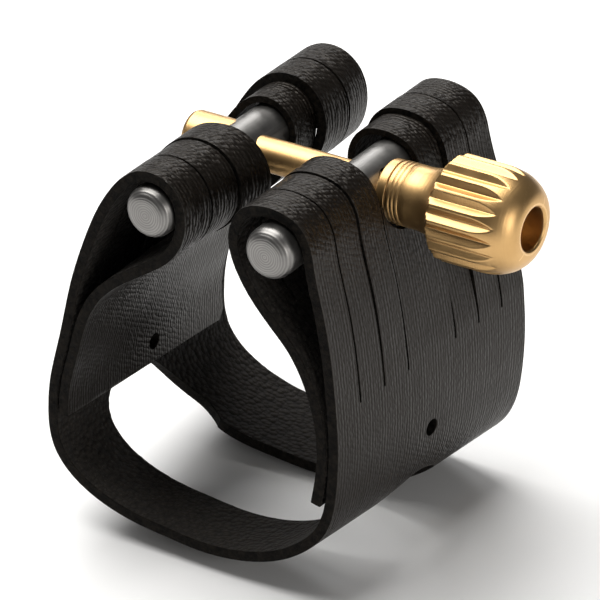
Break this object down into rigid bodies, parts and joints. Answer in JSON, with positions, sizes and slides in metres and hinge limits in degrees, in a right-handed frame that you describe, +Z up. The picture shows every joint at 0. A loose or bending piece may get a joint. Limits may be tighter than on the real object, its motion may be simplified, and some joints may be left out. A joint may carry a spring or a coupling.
{
  "type": "saxophone ligature",
  "caption": "Strap ligature: a looped band of coated fabric folded over two steel rods that a brass bolt and fluted thumb nut draw together.",
  "frame": {"origin": "under the middle of the bounding box, on the surface the ligature stands on", "axes": "+X along the bolt towards the thumb nut, +Y along the rods and the mouthpiece towards the wider back end, +Z up from the bottom of the loop to the rods"},
  "size_m": [0.0434, 0.0304, 0.0395],
  "materials": {
    "coated_fabric": "satin black coated fabric with fine ribs",
    "steel": "turned steel",
    "brass": "turned brass, lightly polished"
  },
  "bodies": {
    "loop_bottom": {"band_back_rail": "coated_fabric", "band_front_rail": "coated_fabric", "band_left_corner": "coated_fabric", "band_right_corner": "coated_fabric"},
    "left_leg": {"left_flap": "coated_fabric", "left_strap_1": "coated_fabric", "left_strap_2": "coated_fabric", "left_strap_3": "coated_fabric", "left_strap_4": "coated_fabric", "left_strap_5": "coated_fabric", "left_strap_6": "coated_fabric", "left_tongue": "coated_fabric", "left_wall": "coated_fabric"},
    "right_leg": {"right_flap": "coated_fabric", "right_strap_1": "coated_fabric", "right_strap_2": "coated_fabric", "right_strap_3": "coated_fabric", "right_strap_4": "coated_fabric", "right_strap_5": "coated_fabric", "right_strap_6": "coated_fabric", "right_tongue": "coated_fabric", "right_wall": "coated_fabric"},
    "left_rod_and_bolt": {"left_rod": "steel", "bolt_head": "brass", "bolt_shank": "brass"},
    "right_rod": {"right_rod": "steel"},
    "washer": {"washer": "brass"},
    "thumb_nut": {"thumb_nut": "brass"}
  },
  "joints": [
    {"name": "left_leg_flex", "type": "hinge", "parent": "loop_bottom", "child": "left_leg", "pos_m": [-0.02003, 0.00085, 0.01472], "axis": [0, 1, 0], "range_deg": [-0.46, 1.52]},
    {"name": "right_leg_flex", "type": "hinge", "parent": "loop_bottom", "child": "right_leg", "pos_m": [0.00992, 0.00085, 0.00912], "axis": [0, 1, 0], "range_deg": [-3.46, 0.94]},
    {"name": "left_rod_swivel", "type": "hinge", "parent": "left_leg", "child": "left_rod_and_bolt", "pos_m": [-0.00808, 0.00085, 0.03472], "axis": [0, 1, 0], "range_deg": [-1.52, 0.46]},
    {"name": "right_rod_swivel", "type": "hinge", "parent": "right_leg", "child": "right_rod", "pos_m": [0.00487, 0.00085, 0.03472], "axis": [0, 1, 0], "range_deg": [-0.94, 3.46]},
    {"name": "washer_travel", "type": "slide", "parent": "left_rod_and_bolt", "child": "washer", "axis": [1, 0, 0], "range_m": [-0.0021, 0.0006]},
    {"name": "nut_spin", "type": "hinge", "parent": "washer", "child": "thumb_nut", "pos_m": [0.01192, 0.00085, 0.03472], "axis": [1, 0, 0], "range_deg": [-1133.86, 283.46]}
  ],
  "couplings": [
    {"joint": "washer_travel", "follows": "nut_spin", "m_per_rad": 0.00010106},
    {"joint": "left_leg_flex", "follows": "nut_spin", "ratio": -0.0012542},
    {"joint": "right_leg_flex", "follows": "nut_spin", "ratio": 0.0029679},
    {"joint": "left_rod_swivel", "follows": "nut_spin", "ratio": 0.0012542},
    {"joint": "right_rod_swivel", "follows": "nut_spin", "ratio": -0.0029679}
  ]
}
